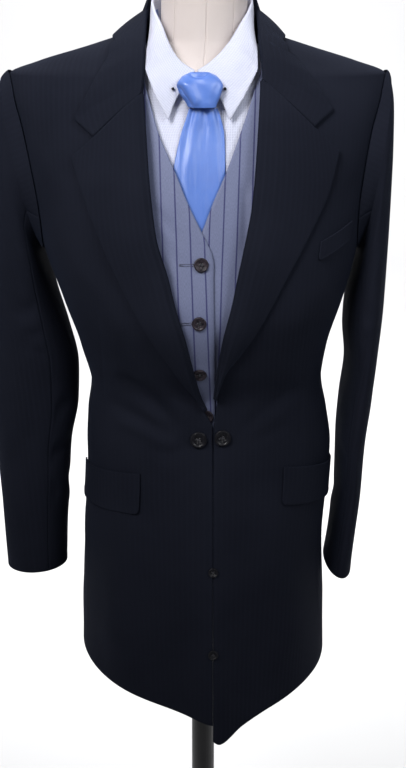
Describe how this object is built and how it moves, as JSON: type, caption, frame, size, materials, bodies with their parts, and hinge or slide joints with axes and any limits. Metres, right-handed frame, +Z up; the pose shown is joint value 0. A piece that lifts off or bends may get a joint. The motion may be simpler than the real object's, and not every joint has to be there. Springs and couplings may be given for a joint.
{
  "type": "saddle seat suit on a dress form",
  "caption": "Long link-front riding coat with notched lapels over a striped waistcoat, shirt and tie, worn by a limbless dress form on a pole and round base.",
  "frame": {"origin": "on the floor, under the middle of the round base", "axes": "+Z up along the pole, +X to the wearer's left, -Y the way the suit faces"},
  "size_m": [0.4729, 0.4112, 1.5013],
  "materials": {
    "coat_cloth": "dark navy worsted, matte",
    "vest_cloth": "grey-blue worsted with dark navy stripes, slight sheen",
    "shirt_cloth": "white cotton, fine self check",
    "tie_satin": "light blue satin",
    "form_linen": "cream linen cover, matte",
    "coat_button": "dark, polished",
    "vest_button": "dark marbled, polished",
    "collar_bar": "dark metal",
    "stand_metal": "black, satin"
  },
  "bodies": {
    "root": {"breast_welt_left": "coat_cloth", "coat_back_left": "coat_cloth", "coat_back_right": "coat_cloth", "coat_collar_fall": "coat_cloth", "coat_collar_stand": "coat_cloth", "coat_front_left": "coat_cloth", "coat_front_right": "coat_cloth", "coat_side_left": "coat_cloth", "coat_side_right": "coat_cloth", "collar_bar": "collar_bar", "collar_bar_end_left": "collar_bar", "collar_bar_end_right": "collar_bar", "form_neck_cap": "stand_metal", "form_torso": "form_linen", "lapel_left": "coat_cloth", "lapel_right": "coat_cloth", "link_button_left": "coat_button", "link_button_right": "coat_button", "pocket_flap_left": "coat_cloth", "pocket_flap_right": "coat_cloth", "shirt_back": "shirt_cloth", "shirt_collar_band": "shirt_cloth", "shirt_collar_leaf": "shirt_cloth", "shirt_front_left": "shirt_cloth", "shirt_front_right": "shirt_cloth", "skirt_button_lower": "coat_button", "skirt_button_upper": "coat_button", "sleeve_top_left": "coat_cloth", "sleeve_top_right": "coat_cloth", "sleeve_under_left": "coat_cloth", "sleeve_under_right": "coat_cloth", "stand_base": "stand_metal", "stand_pole": "stand_metal", "tie_blade": "tie_satin", "tie_knot": "tie_satin", "tie_loop": "tie_satin", "vest_back": "vest_cloth", "vest_button_1": "vest_button", "vest_button_2": "vest_button", "vest_button_3": "vest_button", "vest_button_4": "vest_button", "vest_button_5": "vest_button", "vest_front_left": "vest_cloth", "vest_front_right": "vest_cloth"}
  },
  "joints": []
}
